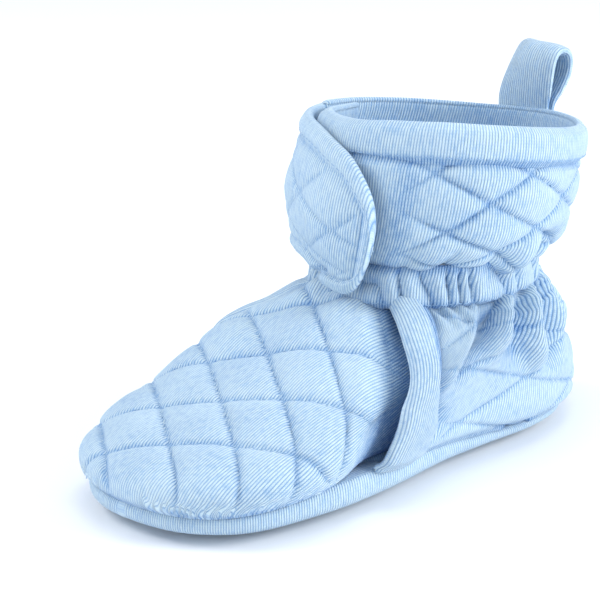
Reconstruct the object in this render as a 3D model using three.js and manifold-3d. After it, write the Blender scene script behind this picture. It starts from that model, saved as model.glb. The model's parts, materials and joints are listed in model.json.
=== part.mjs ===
// Baby bootie with a wrap closure, about 12 cm long: a soft padded sole, a quilted vamp, a heel quarter
// that laps over it, an elastic ankle band, and a tall cuff whose front flap closes with hook and loop.
// Millimetres. +Z is up, the toe points to -Y, and the flap closes towards +X.
import * as THREE from "three";
import { mergeVertices } from "three/addons/utils/BufferGeometryUtils.js";
import Module from "manifold-3d";

const wasm = await Module();
wasm.setup();

// Overall sizes
const soleLength = 115;
const ballHalfWidth = 30;
const heelHalfWidth = 24.5;
const toeCapLength = 38;
const heelCapLength = 27;
const ankleHeight = 33;
const bandHeight = 4.5;
const cuffHeight = 25.5;
const ankleCentreY = 24.2;
const ankleHalfWidth = 21.5;
const ankleHalfDepth = 24.7;

// Sole
const gripThickness = 0.8;
const outsoleThickness = 4.9;
const outsoleFabric = 2;
const outsoleEdgeRound = 2.1;
const outsoleOverhang = 0.8;
const battingThickness = 2.5;
const insoleThickness = 1.8;

// Layers of the upper, counted from the vamp's outer face
const clearance = 0.3;
const lapClearance = 0.5;
const insoleClearance = 1;
const outerFabric = 2.4;
const liningFabric = 1.5;
const quarterFabric = 2.4;
const edgeRollExtra = 0.6;

// Layers of the ankle band and the cuff
const casingFabric = 1.4;
const elasticThickness = 1.2;
const cuffOuterFabric = 2.6;
const cuffLiningFabric = 1.7;
const hemHeight = 5;
const hemExtra = 0.3;

// Closure
const patchThickness = 0.7;
const flapOuterFabric = 2.2;
const flapLiningFabric = 1.2;
const flapRootAngle = -61;
const flapTipAngle = 31;
const flapTopEase = 1.2;
const flapTipHeight = 44;
const flapBottomDrop = 1.2;
const flapTipBlunt = 3;
const underlapEndAngle = -30; // degrees, under the flap
const hingeGap = 0.4;
const wingRiseStart = 218;

// Pull loop
const loopWidth = 13;
const loopHeight = 14.5;
const loopOuterDepth = 10;
const loopFabric = 2.6;
const loopFootRadius = 1.7;
const loopLean = 24;
const loopAngle = 194.5; // sewn a little off the middle of the back, away from the closing side

// Zigzag grips
const gripCount = 4;
const gripFromToe = 24;
const gripPitch = 8.8;
const gripSpan = 34;
const gripSegments = 8;
const gripWave = 3.6;
const gripStroke = 2.3;

// Mesh steps
const shellSteps = 28;
const wallSteps = 7;
const outlineSteps = 48;

const seamHeight = gripThickness + outsoleThickness + clearance;
const liningDepth = outerFabric + clearance + liningFabric;
const cuffDepth = cuffOuterFabric + clearance + cuffLiningFabric;
const patchStack = 2 * (patchThickness + clearance) + clearance;
const flapRise = patchStack + flapLiningFabric + clearance + flapOuterFabric;
const flapBottom = ankleHeight + lapClearance + quarterFabric - flapBottomDrop;

const radians = THREE.MathUtils.degToRad;
const mix = THREE.MathUtils.lerp;
const ease = (x) => THREE.MathUtils.smoothstep(x, 0, 1);

// ---- base curves ----

// The sole's outline at angle t: 0 is the toe, 90 degrees the +X side and 180 the heel.
function soleOutline(t, grow) {
  const half = soleLength / 2 + grow;
  const y = -Math.cos(t) * half;
  const along = (1 - Math.cos(t)) / 2;
  const waist = ease((along - 0.25) / 0.35);
  const width = mix(ballHalfWidth, heelHalfWidth, waist) + grow;
  const toe = Math.min(1, (y + half) / toeCapLength);
  const heel = Math.min(1, (half - y) / heelCapLength);
  const toeRound = (1 - (1 - toe) ** 2.3) ** (1 / 2.3);
  const heelRound = (1 - (1 - heel) ** 2.2) ** (1 / 2.2);
  return new THREE.Vector3(Math.sign(Math.sin(t)) * width * toeRound * heelRound, y, 0);
}

// A stack of tilted rings given by its front line, its back line and its half width.
function ringStack(front, back, halfWidth) {
  const curve = (points) => new THREE.CatmullRomCurve3(points, false, "catmullrom", 0.5);
  const frontLine = curve(front.map(([y, z]) => new THREE.Vector3(0, y, z)));
  const backLine = curve(back.map(([y, z]) => new THREE.Vector3(0, y, z)));
  const widthLine = curve(halfWidth.map((w, i) => new THREE.Vector3(i, w, 0)));
  return (t, v, rise = 0) => {
    const f = frontLine.getPoint(v);
    const b = backLine.getPoint(v);
    const centre = f.clone().add(b).multiplyScalar(0.5);
    const reach = b.sub(f).multiplyScalar(0.5);
    reach.setLength(reach.length() + rise);
    const x = Math.sin(t) * (widthLine.getPoint(v).y + rise);
    return new THREE.Vector3(x, 0, 0).add(centre).addScaledVector(reach, -Math.cos(t));
  };
}

const ankleFrontY = ankleCentreY - ankleHalfDepth;
const ankleBackY = ankleCentreY + ankleHalfDepth;
const bandTop = ankleHeight + bandHeight;
const bellyLow = bandTop + 0.24 * cuffHeight;
const bellyHigh = bandTop + 0.61 * cuffHeight;
const rimHeight = bandTop + cuffHeight;

// Collar: ankle seam, top of the band, low belly, high belly and rim. The rim leans back.
const collarFrontLine = [
  [ankleFrontY, ankleHeight + 1.2],
  [ankleFrontY + 1.3, bandTop + 1.5],
  [ankleFrontY + 2, bellyLow + 2.3],
  [ankleFrontY + 4, bellyHigh + 3.3],
  [ankleFrontY + 7.3, rimHeight + 3.8],
];
const collarBackLine = [
  [ankleBackY, ankleHeight - 1.2],
  [ankleBackY + 1.3, bandTop - 1.5],
  [ankleBackY + 8.3, bellyLow - 2.3],
  [ankleBackY + 12.3, bellyHigh - 3.3],
  [ankleBackY + 14.9, rimHeight - 3.8],
];
const collarHalfWidth = [0, 0.3, 4.5, 5.7, 4.5].map((w) => ankleHalfWidth + w);
const collar = ringStack(collarFrontLine, collarBackLine, collarHalfWidth);

const bandEnd = 0.25; // the band takes the first of the collar's four stretches
const cuffStart = 0.27;

// The cuff's far wing rises outwards until it is level with the flap that continues it.
const rootAngle = 360 + flapRootAngle;
function wingRise(t) {
  const degrees = THREE.MathUtils.radToDeg(t);
  return flapRise * ease((degrees - wingRiseStart) / (rootAngle - wingRiseStart));
}
const cuffSurface = (t, v) => collar(t, v, wingRise(t));

// The flap hangs straight below the belly instead of following the ankle's pinch.
const shiftedFront = collarFrontLine.map(([y, z], i) => [i < 2 ? ankleFrontY + 0.3 + i * 0.7 : y, z]);
const flapHalfWidth = collarHalfWidth.map((w, i) => (i < 2 ? ankleHalfWidth + 2.6 + i : w));
const flapStack = ringStack(shiftedFront, collarBackLine, flapHalfWidth);
const flapSurface = (t, v) => flapStack(t, v, flapRise);

// The foot's skin at angle t, from the sole seam (v = 0) up to the ankle seam (v = 1).
function footSurface(t, v) {
  const start = soleOutline(t, 0).setZ(seamHeight);
  const along = soleOutline(t + 1e-3, 0).sub(soleOutline(t - 1e-3, 0)).normalize();
  const outStart = new THREE.Vector3(along.y, -along.x, 0);
  const end = collar(t, 0);
  const outEnd = new THREE.Vector3(Math.sin(t), -Math.cos(t), 0);
  const toe = ((1 + Math.cos(t)) / 2) ** 1.6;
  const low = start.clone().addScaledVector(outStart, mix(2.2, 2, toe));
  low.z += mix(11, 13, toe);
  const high = end.clone().addScaledVector(outEnd, mix(6.5, 13, toe));
  high.z -= mix(8.5, 9.5, toe);
  return new THREE.CubicBezierCurve3(start, low, high, end).getPoint(v);
}

// The quarter's front edge sweeps from the ankle down and forwards: its angle at height v.
const quarterEdge = new THREE.SplineCurve(
  [33, 46, 57.5, 65, 66.5, 64].map((angle, i) => new THREE.Vector2(1 - i / 5, angle)),
);
const edgeAngle = (v) => quarterEdge.getPoint(1 - v).y;
const edgeRollAngle = 12;
const underlapAngle = 24;

// ---- solids ----

// A point on a surface, moved along its normal.
function offsetPoint(surface, t, v, distance) {
  const step = 1e-3;
  const alongT = surface(t + step, v).sub(surface(t - step, v));
  const alongV = surface(t, Math.min(1, v + step)).sub(surface(t, Math.max(0, v - step)));
  const normal = alongT.cross(alongV).normalize();
  return surface(t, v).addScaledVector(normal, distance);
}

// A closed sheet of cloth of even thickness over a patch of a surface. place(a, b) gives the patch's
// [angle in degrees, v] for a and b from 0 to 1; a ring is a patch whose two ends meet.
function cloth({ surface, place, inner, outer, across = shellSteps, up = wallSteps, ring = false }) {
  const positions = [];
  const columns = ring ? across : across + 1;
  for (const distance of [inner, outer]) {
    for (let i = 0; i < columns; i++) {
      for (let j = 0; j <= up; j++) {
        const [angle, v] = place(i / across, j / up);
        positions.push(...offsetPoint(surface, radians(angle), v, distance).toArray());
      }
    }
  }
  const index = [];
  const rows = up + 1;
  const layer = columns * rows;
  const at = (side, i, j) => side * layer + (i % columns) * rows + j;
  const quad = (a, b, c, d) => index.push(a, b, c, a, c, d);
  for (let i = 0; i < across; i++) {
    for (let j = 0; j < up; j++) {
      quad(at(1, i, j), at(1, i + 1, j), at(1, i + 1, j + 1), at(1, i, j + 1));
      quad(at(0, i, j), at(0, i, j + 1), at(0, i + 1, j + 1), at(0, i + 1, j));
    }
    quad(at(0, i, 0), at(0, i + 1, 0), at(1, i + 1, 0), at(1, i, 0));
    quad(at(0, i, up), at(1, i, up), at(1, i + 1, up), at(0, i + 1, up));
  }
  if (!ring) {
    for (let j = 0; j < up; j++) {
      quad(at(0, 0, j), at(1, 0, j), at(1, 0, j + 1), at(0, 0, j + 1));
      quad(at(0, across, j), at(0, across, j + 1), at(1, across, j + 1), at(1, across, j));
    }
  }
  const geometry = new THREE.BufferGeometry();
  geometry.setAttribute("position", new THREE.Float32BufferAttribute(positions, 3));
  geometry.setIndex(index);
  geometry.computeVertexNormals();
  return geometry;
}

// A slab with the sole's outline, its edges rounded by edge.
function soleSlab(grow, bottom, thickness, edge = 0) {
  const points = Array.from({ length: outlineSteps }, (_, i) => {
    const p = soleOutline((i / outlineSteps) * 2 * Math.PI, grow - edge);
    return new THREE.Vector2(p.x, p.y);
  });
  const geometry = new THREE.ExtrudeGeometry(new THREE.Shape(points), {
    depth: thickness - 2 * edge,
    bevelEnabled: edge > 0,
    bevelSize: edge,
    bevelThickness: edge,
    bevelSegments: 2,
  });
  return geometry.translate(0, 0, bottom + edge);
}

function toManifold(geometry) {
  const bare = new THREE.BufferGeometry().setAttribute("position", geometry.getAttribute("position"));
  if (geometry.index) bare.setIndex(geometry.index);
  const merged = mergeVertices(bare, 1e-4);
  return new wasm.Manifold(
    new wasm.Mesh({
      numProp: 3,
      vertProperties: new Float32Array(merged.attributes.position.array),
      triVerts: new Uint32Array(merged.index.array),
    }),
  );
}

function toGeometry(solid) {
  const mesh = solid.getMesh();
  const geometry = new THREE.BufferGeometry();
  geometry.setAttribute("position", new THREE.Float32BufferAttribute(mesh.vertProperties, 3));
  geometry.setIndex(new THREE.BufferAttribute(mesh.triVerts, 1));
  geometry.computeVertexNormals();
  return geometry;
}

// The flap turns about a straight line just outside its root. Wing and flap both end at the flat cut
// that runs inwards from that line, so the flap swings out freely.
const rootOutward = new THREE.Vector3(Math.sin(radians(flapRootAngle)), -Math.cos(radians(flapRootAngle)), 0);
const rootLine = Array.from({ length: 21 }, (_, i) => flapSurface(radians(flapRootAngle), i / 20));
const hingeAxis = rootLine.at(-1).clone().sub(rootLine[0]).projectOnPlane(rootOutward).normalize();
const reach = Math.max(...rootLine.map((p) => p.dot(rootOutward)));
const hingePoint = rootLine[10].clone().addScaledVector(rootOutward, reach - rootLine[10].dot(rootOutward));
function rootCutter(side) {
  const size = new THREE.Vector3(8, 40, 90);
  const forwards = new THREE.Vector3().crossVectors(hingeAxis, rootOutward);
  const box = new THREE.BoxGeometry(size.x, size.y, size.z);
  box.translate((side * (size.x - hingeGap)) / 2, 0, 0);
  const basis = new THREE.Matrix4().makeBasis(forwards, rootOutward.clone().negate(), hingeAxis);
  return toManifold(box.applyMatrix4(basis).translate(...hingePoint));
}
const endAtRoot = (geometry, side) => toGeometry(toManifold(geometry).subtract(rootCutter(side)));

// ---- the bootie ----

const bootie = new THREE.Group();

const quilt = { color: 0xa9d2f5, roughness: 0.92, metalness: 0 };
const lining = { color: 0x86b9ea, roughness: 0.95, metalness: 0 };
const gripPrint = { color: 0xf4f6fa, roughness: 0.55, metalness: 0 };
const closureTape = { color: 0x9cc8ee, roughness: 0.98, metalness: 0 };
const elastic = { color: 0xf2f2ee, roughness: 0.8, metalness: 0 };
const batting = { color: 0xfafafa, roughness: 1, metalness: 0 };

function add(name, geometry, finish) {
  const mesh = new THREE.Mesh(geometry, new THREE.MeshStandardMaterial(finish));
  mesh.name = name;
  bootie.add(mesh);
  return mesh;
}

// Sole: a tray of quilted cloth, the batting it holds, and the insole.
const pocketGrow = outsoleOverhang - outsoleFabric - edgeRollExtra;
const pocketFloor = gripThickness + outsoleFabric;
const outsoleBlock = toManifold(soleSlab(outsoleOverhang, gripThickness, outsoleThickness, outsoleEdgeRound));
const pocket = toManifold(soleSlab(pocketGrow, pocketFloor, outsoleThickness));
add("outsole", toGeometry(outsoleBlock.subtract(pocket)), quilt);
add("sole_batting", soleSlab(pocketGrow - clearance, pocketFloor + clearance, battingThickness), batting);
add("insole", soleSlab(-liningDepth - insoleClearance, seamHeight, insoleThickness), lining);

// Grips: zigzag strips of silicone across the forefoot, the lowest faces of the bootie.
function zigzagStrip(centreY) {
  const pitch = gripSpan / gripSegments;
  const slant = Math.hypot(pitch, gripWave) / pitch;
  const halfStroke = (gripStroke / 2) * slant;
  const spine = Array.from({ length: gripSegments + 1 }, (_, i) => [
    -gripSpan / 2 + i * pitch,
    centreY + ((i % 2) - 0.5) * gripWave,
  ]);
  const lower = spine.map(([x, y]) => new THREE.Vector2(x, y - halfStroke));
  const upper = spine.map(([x, y]) => new THREE.Vector2(x, y + halfStroke)).reverse();
  const shape = new THREE.Shape([...lower, ...upper]);
  return new THREE.ExtrudeGeometry(shape, { depth: gripThickness, bevelEnabled: false });
}
for (let i = 0; i < gripCount; i++) {
  const centreY = -soleLength / 2 + gripFromToe + i * gripPitch;
  add(`grip_zigzag_${i + 1}`, zigzagStrip(centreY), gripPrint);
}

// Vamp: from the toe back to an edge hidden under the quarter.
const vampTop = 0.955;
const vampPlace = (a, b) => {
  const v = b * vampTop;
  const limit = edgeAngle(v) + underlapAngle;
  return [mix(-limit, limit, a), v];
};
add("vamp_outer", cloth({ surface: footSurface, place: vampPlace, inner: -outerFabric, outer: 0 }), quilt);
add(
  "vamp_lining",
  cloth({
    surface: footSurface,
    place: vampPlace,
    inner: -liningDepth,
    outer: -outerFabric - clearance,
  }),
  lining,
);

// Quarter: wraps the heel, lapping over the vamp, with a rolled front edge on each side.
const quarterTop = 0.93;
const quarterEdgeTop = 0.88;
const quarterPlace = (a, b) => {
  const v = b * quarterTop;
  const start = edgeAngle(v) + edgeRollAngle;
  return [mix(start, 360 - start, a), v];
};
add(
  "quarter_outer",
  cloth({
    surface: footSurface,
    place: quarterPlace,
    inner: lapClearance,
    outer: lapClearance + quarterFabric,
  }),
  quilt,
);
const liningGapAngle = 1;
add(
  "quarter_lining",
  cloth({
    surface: footSurface,
    place: (a, b) => {
      const v = b * vampTop;
      const start = edgeAngle(v) + underlapAngle + liningGapAngle;
      return [mix(start, 360 - start, a), v];
    },
    inner: -liningDepth,
    outer: 0,
  }),
  lining,
);
const rollPlace = (side) => (a, b) => {
  const v = b * quarterEdgeTop;
  const angle = edgeAngle(v) + a * (edgeRollAngle - liningGapAngle);
  return side > 0 ? [angle, v] : [360 - edgeAngle(v) - (1 - a) * (edgeRollAngle - liningGapAngle), v];
};
for (const [name, side] of [
  ["quarter_edge_right", 1],
  ["quarter_edge_left", -1],
]) {
  add(
    name,
    cloth({
      surface: footSurface,
      place: rollPlace(side),
      inner: lapClearance,
      outer: lapClearance + quarterFabric + edgeRollExtra,
      across: 3,
      up: 14,
    }),
    quilt,
  );
}

// Ankle band: an outer and an inner casing with the elastic between them.
const bandPlace = (low, high) => (a, b) => [a * 360, mix(low, high, b) * bandEnd];
const band = (inner, outer, low, high) =>
  cloth({ surface: collar, place: bandPlace(low, high), inner, outer, up: 2, ring: true });
const elasticFace = -clearance;
const innerCasingFace = elasticFace - elasticThickness - clearance;
add("ankle_casing_outer", band(0, casingFabric, 0.12, 0.97), quilt);
add("ankle_elastic", band(elasticFace - elasticThickness, elasticFace, 0.2, 0.9), elastic);
add("ankle_casing_inner", band(innerCasingFace - casingFabric, innerCasingFace, 0.12, 0.97), lining);

// Cuff: outer and lining, both ending under a rolled hem at the rim.
const rootSpareAngle = 6; // wing and flap are made longer by this, then cut back
const collarWall = new THREE.Vector3().subVectors(collar(0, 1), collar(0, 0.75)).length();
const hemStart = 1 - (0.25 * hemHeight) / collarWall;
const hemSeam = 0.012;
const cuffPlace = (low, high) => (a, b) => [
  mix(underlapEndAngle, rootAngle + rootSpareAngle, a),
  mix(low, high, b),
];
const cuffPart = (low, high, inner, outer, up = wallSteps) =>
  endAtRoot(cloth({ surface: cuffSurface, place: cuffPlace(low, high), inner, outer, across: 36, up }), 1);
add("cuff_outer", cuffPart(cuffStart, hemStart - hemSeam, -cuffOuterFabric, 0), quilt);
add("cuff_lining", cuffPart(cuffStart, hemStart - hemSeam, -cuffDepth, -cuffOuterFabric - clearance), lining);
add("cuff_top_hem", cuffPart(hemStart, 1, -cuffDepth, hemExtra, 3), quilt);

// Flap: a leaf that continues the far wing round the front and laps over the near wing.
const flapStart = flapRootAngle - rootSpareAngle;
const flapSpan = flapTipAngle - flapStart;
const stackHeight = (height) => {
  // The stack's v at a height in front, found by halving.
  let [low, high] = [0, 1];
  for (let i = 0; i < 30; i++) {
    const middle = (low + high) / 2;
    if (flapSurface(0, middle).z < height) low = middle;
    else high = middle;
  }
  return low;
};
const flapTopV = stackHeight(rimHeight + 3.8 - flapTopEase);
const flapBottomV = stackHeight(flapBottom);
const flapTipV = stackHeight(flapTipHeight);
const flapBluntV = (0.5 * flapTipBlunt) / (rimHeight - ankleHeight);
function flapPlace(a, b) {
  const along = a * (2 - a); // closer steps towards the tip
  const angle = flapStart + flapSpan * along;
  const overTop = Math.max(0, (along - 0.62) / 0.38);
  const overBottom = Math.max(0, (along - 0.5) / 0.5);
  const top = mix(flapTipV + flapBluntV, flapTopV, Math.sqrt(1 - overTop ** 2));
  const bottom = mix(flapTipV - flapBluntV, flapBottomV, Math.sqrt(1 - overBottom ** 2));
  return [angle, mix(bottom, top, b)];
}
const flapPart = (inner, outer) =>
  endAtRoot(cloth({ surface: flapSurface, place: flapPlace, inner, outer, across: 18, up: 8 }), -1);
const flapLiningFace = -flapOuterFabric - clearance;
const flapInnerFace = flapLiningFace - flapLiningFabric;
add("flap_outer", flapPart(-flapOuterFabric, 0), quilt);
add("flap_lining", flapPart(flapInnerFace, flapLiningFace), lining);

// Hook patch under the flap, loop patch on the near wing's outside.
const patchAngles = [-20, 12];
const patchHeights = [0.47, 0.8];
const patchPlace = (a, b) => [mix(...patchAngles, a), mix(...patchHeights, b)];
const patch = (surface, inner) =>
  cloth({ surface, place: patchPlace, inner, outer: inner + patchThickness, across: 8, up: 6 });
add("hook_patch", patch(flapSurface, flapInnerFace - clearance - patchThickness), closureTape);
add("loop_patch", patch(cuffSurface, clearance), closureTape);

// Pull loop: a folded strip standing on the rim at the back, its foot round so that it can tip.
function loopProfile(inset) {
  const half = loopOuterDepth / 2 - inset;
  const foot = loopFootRadius - inset * 0.45;
  const crown = loopHeight - loopOuterDepth / 2 - loopFootRadius;
  const neck = inset > 0 ? crown * 0.28 : 0;
  const path = new THREE.Path();
  path.moveTo(-foot, neck);
  path.bezierCurveTo(-foot, crown * 0.45, -half, crown * 0.55, -half, crown);
  path.absarc(0, crown, half, Math.PI, 0, true);
  path.bezierCurveTo(half, crown * 0.55, foot, crown * 0.45, foot, neck);
  path.absarc(0, neck, foot, 0, -Math.PI, true);
  const points = path.getPoints(6);
  return points.filter((p, i) => p.distanceTo(points.at(i - 1)) > 1e-3);
}
const loopShape = new THREE.Shape(loopProfile(0));
loopShape.holes.push(new THREE.Path(loopProfile(loopFabric).reverse()));
const loopGeometry = new THREE.ExtrudeGeometry(loopShape, { depth: loopWidth, bevelEnabled: false });
loopGeometry.translate(0, 0, -loopWidth / 2);
loopGeometry.rotateY(Math.PI / 2);
loopGeometry.rotateX(Math.PI / 2);
loopGeometry.rotateX(radians(-loopLean));
const loopSeat = offsetPoint(cuffSurface, radians(loopAngle), 1, -cuffDepth / 2);
const pullLoop = add("pull_loop", loopGeometry, quilt);
pullLoop.position.copy(loopSeat);
pullLoop.position.z += loopFootRadius + clearance + hemExtra;

// The frame's origin is under the middle of the whole bootie, on the floor.
const extent = new THREE.Box3().setFromObject(bootie);
const middle = extent.getCenter(new THREE.Vector3());
bootie.position.set(-middle.x, -middle.y, -extent.min.z);

export default bootie;
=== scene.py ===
import json
import math

import bmesh
import bpy
import numpy as np
from mathutils import Matrix, Vector


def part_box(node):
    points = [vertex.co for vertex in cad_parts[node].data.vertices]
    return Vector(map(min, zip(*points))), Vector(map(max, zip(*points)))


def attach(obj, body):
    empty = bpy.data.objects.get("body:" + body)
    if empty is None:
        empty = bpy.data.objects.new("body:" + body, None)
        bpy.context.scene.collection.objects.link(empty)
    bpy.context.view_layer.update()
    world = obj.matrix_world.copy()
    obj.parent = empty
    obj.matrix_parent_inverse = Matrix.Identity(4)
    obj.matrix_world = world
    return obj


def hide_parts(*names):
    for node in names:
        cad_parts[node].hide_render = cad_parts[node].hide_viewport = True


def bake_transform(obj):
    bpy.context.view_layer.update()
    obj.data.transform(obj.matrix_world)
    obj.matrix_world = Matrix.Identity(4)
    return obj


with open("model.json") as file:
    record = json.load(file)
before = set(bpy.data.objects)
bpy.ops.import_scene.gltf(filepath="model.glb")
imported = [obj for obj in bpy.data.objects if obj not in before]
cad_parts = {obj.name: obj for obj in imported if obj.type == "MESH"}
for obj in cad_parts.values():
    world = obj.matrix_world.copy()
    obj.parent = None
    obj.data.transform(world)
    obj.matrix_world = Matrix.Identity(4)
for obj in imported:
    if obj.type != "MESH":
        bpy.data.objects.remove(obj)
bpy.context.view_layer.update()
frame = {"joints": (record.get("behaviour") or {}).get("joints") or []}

mm = 0.001


def boxMm(node):
    low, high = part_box(node)
    return np.array(low) / mm, np.array(high) / mm


# The last: the foot shape that every piece is laid on
last = {
    "length": 115.0, "ballHalfWidth": 30.0, "heelHalfWidth": 24.5, "toeCap": 38.0, "heelCap": 27.0,
    "seamHeight": 6.0,
    "waistPinch": 1.6,  # the sole is a little narrower behind the ball of the foot
    "seamArch": 1.9,  # and its seam rises there
    "seamDrop": 2.0,  # and sinks round the heel
}
soleLow, soleHigh = boxMm("outsole")
soleMiddle = (soleLow[1] + soleHigh[1]) / 2
floorGap = soleLow[2]  # the grips hold the cloth this far off the floor

# y and z of the collar in front and behind, and half its width, at the ankle seam, the top of the band, low and
# high on the belly, and the rim
collarKnots = {
    "front": [(-0.5, 34.2), (0.8, 39.0), (1.5, 45.9), (3.5, 56.4), (6.8, 66.8)],
    "back": [(48.9, 31.8), (50.2, 36.0), (57.2, 41.3), (61.2, 49.8), (63.8, 59.2)],
    "halfWidth": [21.5, 21.8, 26.0, 27.2, 26.0],
}
collarRadius = 26.5
cuffFoot = 0.25  # share of the collar's run below the cuff
cuffRun = 27.0  # length of the cloth from there to the rim


def smooth(x):
    x = np.clip(x, 0, 1)
    return x * x * (3 - 2 * x)


def between(x, low, high):
    return smooth((x - low) / (high - low))


def hump(x, middle, reach):
    return np.where(np.abs(x - middle) < reach, 0.5 + 0.5 * np.cos(np.pi * (x - middle) / reach), 0.0)


def seamLift(t):
    fromToe = np.degrees(np.arccos(np.clip(np.cos(t), -1, 1)))
    return last["seamArch"] * hump(fromToe, 68, 42) - last["seamDrop"] * between(fromToe, 95, 125)


def spline(knots, v):
    knots = np.array(knots, float).reshape(len(knots), -1)
    ends = [2 * knots[0] - knots[1], *knots, 2 * knots[-1] - knots[-2]]
    k = np.array(ends)
    at = np.clip(v, 0, 1) * (len(knots) - 1)
    i = np.minimum(at.astype(int), len(knots) - 2)
    f = (at - i)[..., None]
    a, b, c, d = k[i], k[i + 1], k[i + 2], k[i + 3]
    return 0.5 * (2 * b + (c - a) * f + (2 * a - 5 * b + 4 * c - d) * f**2 + (3 * b - a - 3 * c + d) * f**3)


# The edge of the sole, at angle t from the toe
def outline(t, grow=0.0):
    half = last["length"] / 2 + grow
    y = -np.cos(t) * half
    waist = smooth(((1 - np.cos(t)) / 2 - 0.25) / 0.35)
    pinch = last["waistPinch"] * hump(np.degrees(np.arccos(np.clip(np.cos(t), -1, 1))), 60, 30)
    width = last["ballHalfWidth"] + (last["heelHalfWidth"] - last["ballHalfWidth"]) * waist + grow - pinch
    toe = np.clip((y + half) / last["toeCap"], 0, 1)
    heel = np.clip((half - y) / last["heelCap"], 0, 1)
    rounding = (1 - (1 - toe) ** 2.3) ** (1 / 2.3) * (1 - (1 - heel) ** 2.2) ** (1 / 2.2)
    return np.stack([np.sign(np.sin(t)) * width * rounding, y, np.zeros_like(y)], -1)


# The ankle and cuff, at angle t from the front and share v of the way up
def collar(t, v, rise=0.0):
    front = spline(collarKnots["front"], v)
    back = spline(collarKnots["back"], v)
    width = spline(collarKnots["halfWidth"], v)[..., 0] + rise
    reach = (back - front) / 2
    length = np.linalg.norm(reach, axis=-1, keepdims=True)
    reach = reach * (1 + np.asarray(rise)[..., None] / length)
    yz = (front + back) / 2 - np.cos(t)[..., None] * reach
    return np.stack([np.sin(t) * width, yz[..., 0], yz[..., 1]], -1)


# The foot between the sole's seam (v = 0) and the ankle seam (v = 1)
def foot(t, v):
    start = outline(t)
    start[..., 2] = last["seamHeight"] + seamLift(t)
    along = outline(t + 1e-3) - outline(t - 1e-3)
    along /= np.linalg.norm(along, axis=-1, keepdims=True)
    outLow = np.stack([along[..., 1], -along[..., 0], 0 * t], -1)
    outHigh = np.stack([np.sin(t), -np.cos(t), 0 * t], -1)
    up = np.array([0.0, 0.0, 1.0])
    toe = (((1 + np.cos(t)) / 2) ** 1.6)[..., None]
    end = collar(t, 0 * t)
    low = start + outLow * (2.2 - 0.2 * toe) + up * (11 + 2 * toe)
    high = end + outHigh * (6.5 + 6.5 * toe) - up * (8.5 + toe)
    v = v[..., None]
    w = 1 - v
    return w**3 * start + 3 * w * w * v * low + 3 * w * v * v * high + v**3 * end


quarterEdgeKnots = [74, 74.5, 68, 59, 46, 32]  # the quarter's front edge, in degrees, from the sole up


def quarterEdge(v):
    return spline(quarterEdgeKnots, v)[..., 0]


def normals(p, ring=False):
    if ring:
        du = np.roll(p, -1, 0) - np.roll(p, 1, 0)
    else:
        du = np.gradient(p, axis=0)
    dv = np.gradient(p, axis=1)
    return unit(np.cross(du, dv))


def unit(d):
    return d / np.maximum(np.linalg.norm(d, axis=-1, keepdims=True), 1e-9)


def newObject(name, data):
    made = bpy.data.objects.new(name, data)
    bpy.context.scene.collection.objects.link(made)
    return made


def finish(name, verts, faces, uvs, material, body, slotName="quilted_jersey", replaces=(), paintedShades=None):
    mesh = bpy.data.meshes.new(name)
    points = np.array(verts, float)
    points[:, 1] += soleMiddle
    mesh.from_pydata((points * mm).tolist(), [], faces)
    layer = mesh.uv_layers.new(name="cloth")
    layer.data.foreach_set("uv", np.array(uvs, np.float32).ravel())
    # painted shade of each point, kept as an attribute for the material
    if paintedShades is not None:
        mesh.attributes.new("paintedShade", "FLOAT", "POINT").data.foreach_set("value", np.array(paintedShades, np.float32))
    mesh.polygons.foreach_set("use_smooth", [True] * len(mesh.polygons))
    mesh.materials.append(material)
    piece = newObject(name, mesh)
    if body:
        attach(piece, body)
    if replaces:
        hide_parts(*replaces)
    return piece
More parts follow.
